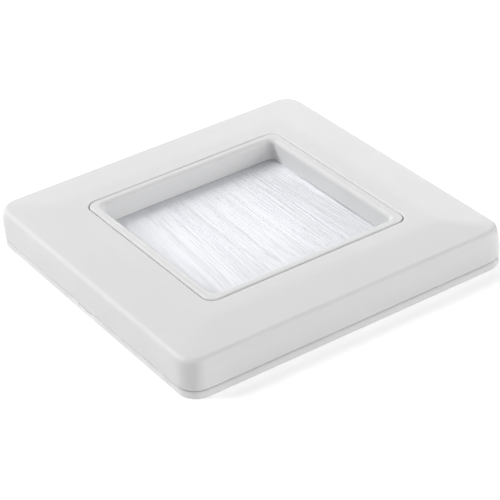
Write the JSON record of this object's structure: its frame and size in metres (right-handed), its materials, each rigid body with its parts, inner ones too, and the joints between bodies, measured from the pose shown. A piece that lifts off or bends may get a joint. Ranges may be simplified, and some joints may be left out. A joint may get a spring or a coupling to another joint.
{
  "type": "brush wall plate",
  "caption": "Square bevelled wall plate with a recessed window closed by a strip of bristles, for leading cables out of a wall box.",
  "frame": {"origin": "centre of the back of the base plate, on the wall plane", "axes": "+Z out of the wall towards the front, bristles run along +X from their root at -X, pry notch on the -Y edge"},
  "size_m": [0.08, 0.08, 0.0102],
  "materials": {
    "frame_plastic": "satin white",
    "base_plastic": "satin white",
    "insert_plastic": "satin white",
    "bristle_nylon": "fine translucent white filaments",
    "channel_metal": "mill finish",
    "wire_steel": "drawn",
    "screw_steel": "bright zinc"
  },
  "bodies": {
    "root": {"base_plate": "base_plastic", "cover_frame": "frame_plastic", "center_insert": "insert_plastic", "brush_bar": "insert_plastic", "bar_screws": "screw_steel", "brush_channel": "channel_metal", "brush_core_wire": "wire_steel", "bristles": "bristle_nylon"}
  },
  "joints": []
}
